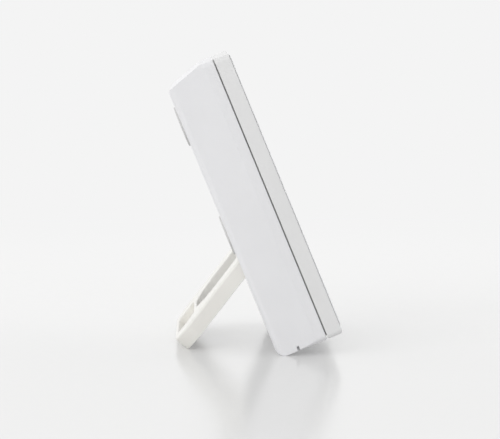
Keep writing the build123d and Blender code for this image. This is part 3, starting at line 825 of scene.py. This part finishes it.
def ridgeSheet(middleZ, face):
    # a long swelling: half a sine wave across it, fading to nothing at both ends
    across, up = np.meshgrid(np.linspace(1, -1, 25), np.linspace(-0.5, 0.5, 9))
    swell = np.cos(up * math.pi) * (1 - np.abs(across) ** doorLook["ridgeFade"])
    x = across * doorLook["ridgeWidth"] / 2
    z = middleZ + up * doorLook["pitch"] * doorLook["ridgeShare"]
    front = np.stack([x, face + swell * doorLook["ridgeHeight"], z], -1)
    back = np.stack([x, np.full_like(x, face - doorLook["sunk"]), z], -1)
    return closedSheet(front, back)


def arrowSheet(middleZ, face):
    # a triangle that points down: rows narrow towards the tip, with a flat raised face that rounds off
    # over the last share of each side
    share, row = np.meshgrid(np.linspace(0.5, -0.5, 5), np.linspace(0.02, 1, 5))
    size = doorLook["arrowSize"]
    x = share * row * 2 * size
    z = middleZ + (row - 0.5) * size * doorLook["arrowTall"]
    slope = doorLook["arrowSlope"]
    edge = 1 - np.clip((np.maximum(np.abs(share) * 2, row) - (1 - slope)) / slope, 0, 1) ** 2
    front = np.stack([x, face + edge * doorLook["arrowProud"], z], -1)
    back = np.stack([x, np.full_like(x, face - doorLook["sunk"]), z], -1)
    return closedSheet(front, back)


def addDoorMarks():
    high = leaningBox("battery_cover")[1]
    face = (high[1] - caseOrigin[1]) * 1000
    top = (high[2] - caseOrigin[2]) * 1000
    middles = [top - doorLook["fromTop"] - step * doorLook["pitch"] for step in range(doorLook["ridges"])]
    parts = [ridgeSheet(middle, face) for middle in middles]
    parts.append(arrowSheet(top - doorLook["arrowDrop"], face))
    points, faces = joined(parts)
    addPiece("doorMarks", points, faces, materials["white_shell"], "battery_door", True)


addDoorMarks()
print("door marked")


# Case screws: the CAD heads are plain, so these carry a cross recess

screwLook = {
    "places": [(-40.2, 8.0), (40.2, 8.0), (-18.0, 104.0), (18.0, 104.0)],
    "seat": 14.0,
    "headRadius": 2.5,
    "headHeight": 1.6,
    "headRound": 0.6,
    "faceRings": (0.05, 0.3, 0.46, 0.7, 1.0, 1.3),
    "shankRadius": 1.3,
    "shankLength": 10.0,
    "tipLength": 0.9,
    "tipShare": 0.4,
    "arm": 1.5,
    "armWidth": 0.62,
    "armWall": 0.02,
    "recess": 1.05,
    "recessFade": 0.4,
}


def screwSkin(screwX, screwZ):
    # rings from the middle of the head, over its round, to the tip; the cross sinks straight into the head.
    # Each quarter turn has five columns on an arm of the cross and four between it and the next.
    look = screwLook
    top = look["seat"] + look["headHeight"]
    face = [*look["faceRings"], look["arm"], look["arm"] + look["armWall"], look["headRadius"] - look["headRound"]]
    bend = np.linspace(0, math.pi / 2, 7)[1:]
    radius = np.concatenate([
        face,
        look["headRadius"] - look["headRound"] * (1 - np.sin(bend)),
        [look["headRadius"], look["shankRadius"], look["shankRadius"], look["shankRadius"] * look["tipShare"]],
    ])
    tip = look["seat"] - look["shankLength"]
    depth = np.concatenate([
        np.full(len(face), top),
        top - look["headRound"] * (1 - np.cos(bend)),
        [look["seat"], look["seat"], tip + look["tipLength"], tip],
    ])
    armAngle = np.arcsin(np.minimum(look["armWidth"] / 2 / radius, 0.69))[:, None]
    onArm = armAngle * np.array([-1, -0.5, 0, 0.5, 1])
    between = armAngle + (math.pi / 2 - 2 * armAngle) * np.array([0.002, 0.34, 0.66, 0.998])
    quarter = np.concatenate([onArm, between], 1)
    angle = np.concatenate([quarter + turn * math.pi / 2 for turn in range(4)], 1)
    onCross = np.tile([1, 1, 1, 1, 1, 0, 0, 0, 0], 4) + (radius < look["armWidth"] * 0.75)[:, None]
    sunk = np.minimum(onCross, 1) * (radius <= look["arm"])[:, None] * (np.arange(len(radius)) < len(face))[:, None]
    y = depth[:, None] - sunk * look["recess"] * (1 - look["recessFade"] * radius / look["arm"])[:, None]
    x = screwX + radius[:, None] * np.cos(angle)
    z = screwZ + radius[:, None] * np.sin(angle)
    rows, columns = angle.shape
    index = np.arange(rows * columns).reshape(rows, columns)
    ring = np.concatenate([index, index[:, :1]], 1)
    quads = np.stack([ring[:-1, :-1], ring[:-1, 1:], ring[1:, 1:], ring[1:, :-1]], -1).reshape(-1, 4)
    ends = [index[0, ::-1].tolist(), index[-1].tolist()]
    return np.stack([x, y, z], -1).reshape(-1, 3), quads.tolist() + ends


points, faces = joined([screwSkin(*place) for place in screwLook["places"]])
crossScrews = addPiece("crossScrews", points, faces, materials["steel"], "case")
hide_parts("case_screws")
print("screws cut")


# Floor and studio

def shownRays(finish):
    # 1 for what the eye sees directly, in a mirror or through glass, and 0 for what lights the scene
    path = finish.node("ShaderNodeLightPath", {}, {}).socket.node
    kinds = [Wire(finish, path.outputs[kind]) for kind in ("Is Camera Ray", "Is Glossy Ray", "Is Transmission Ray")]
    return finish.node("ShaderNodeClamp", {}, {"Value": kinds[0] + kinds[1] + kinds[2]})


def addFloor():
    # one flat sheet, 12 m square, that fades into the white beyond the object
    look = {
        "half": 6.0,
        "colour": (0.82, 0.82, 0.815, 1),
        "far": (0.905, 0.905, 0.905, 1),
        "fadeStart": 0.16,
        "fadeEnd": 0.55,
        "nearShare": 0.17,
        "roughness": 0.16,
        "roughSpread": 0.03,
        "grainScale": 220.0,
    }
    half = look["half"]
    mesh = bpy.data.meshes.new("studioFloor")
    mesh.from_pydata([(-half, -half, 0), (half, -half, 0), (half, half, 0), (-half, half, 0)], [], [[0, 1, 2, 3]])
    floor = bpy.data.objects.new("studioFloor", mesh)
    scene.collection.objects.link(floor)
    finish = Finish("paleFloor")
    reach = finish.node("ShaderNodeVectorMath", {"operation": "LENGTH"}, {0: finish.places}, "Value")
    fade = finish.ramp(reach, look["fadeStart"], look["fadeEnd"])
    grain = finish.noise(look["grainScale"], 3.0)
    paper = finish.plain({"Base Color": look["colour"], "Roughness": look["roughness"] + grain * look["roughSpread"]})
    white = finish.node("ShaderNodeEmission", {}, {"Color": look["far"], "Strength": 1.0})
    share = (fade * (1.0 - look["nearShare"]) + look["nearShare"]) * shownRays(finish)
    mesh.materials.append(finish.finishWith(finish.node("ShaderNodeMixShader", {}, {0: share, 1: paper, 2: white})))


def addWorld():
    # the sky lights evenly and shows as plain white
    look = {"shown": (0.905, 0.905, 0.905, 1), "light": (1.0, 1.0, 1.0, 1), "level": 0.48}
    world = bpy.data.worlds.new("studioSky")
    scene.world = world
    world.use_nodes = True
    sky = Finish(tree=world.node_tree)
    lighting = sky.node("ShaderNodeBackground", {}, {"Color": look["light"], "Strength": look["level"]})
    shown = sky.node("ShaderNodeBackground", {}, {"Color": look["shown"], "Strength": 1.0})
    mixed = sky.node("ShaderNodeMixShader", {}, {0: shownRays(sky), 1: lighting, 2: shown})
    sky.node("ShaderNodeOutputWorld", {}, {"Surface": mixed}, None)


def placeAimed(name, content, place, aim):
    # a lamp or camera looks along its own -Z, with its Y upwards
    holder = bpy.data.objects.new(name, content)
    holder.location = place
    holder.rotation_euler = aim.to_track_quat("-Z", "Y").to_euler()
    scene.collection.objects.link(holder)
    return holder


# each lamp is a square panel: where it stands, its side in metres and its power in watts
lampLook = {
    "target": (0, 0, 0.05),
    "lamps": {
        "nearLamp": ((-1.6, 0.1, 0.9), 1.4, 3.2),
        "leftLamp": ((-1.1, 1.1, 0.7), 1.4, 11.2),
        "farLamp": ((1.6, 0.0, 0.7), 2.2, 3.4),
        "farBackLamp": ((1.0, 1.2, 0.8), 2.2, 8.0),
        "farFrontLamp": ((0.9, -1.2, 0.9), 2.2, 7.4),
        "frontLamp": ((-0.3, -1.6, 0.6), 1.4, 2.8),
    },
}


def addLamps():
    for name, (place, size, power) in lampLook["lamps"].items():
        lamp = bpy.data.lights.new(name, "AREA")
        lamp.shape = "SQUARE"
        lamp.size = size
        lamp.energy = power
        placeAimed(name, lamp, place, Vector(lampLook["target"]) - Vector(place))


def addCamera():
    # a long lens at table height, looking along the case's width
    look = {
        "place": (-0.8657, 0.0213, 0.1260),
        "yaw": 1.33,
        "pitch": 5.11,
        "lens": 154.9,
        "sensor": 36.0,
        "near": 0.01,
        "far": 50.0,
    }
    camera = bpy.data.cameras.new("camera")
    camera.lens = look["lens"]
    camera.sensor_width = look["sensor"]
    camera.clip_start = look["near"]
    camera.clip_end = look["far"]
    yaw = math.radians(look["yaw"])
    pitch = math.radians(look["pitch"])
    aim = Vector((math.cos(yaw) * math.cos(pitch), -math.sin(yaw) * math.cos(pitch), -math.sin(pitch)))
    scene.camera = placeAimed("camera", camera, look["place"], aim)


addFloor()
addWorld()
addLamps()
addCamera()
print("studio ready")
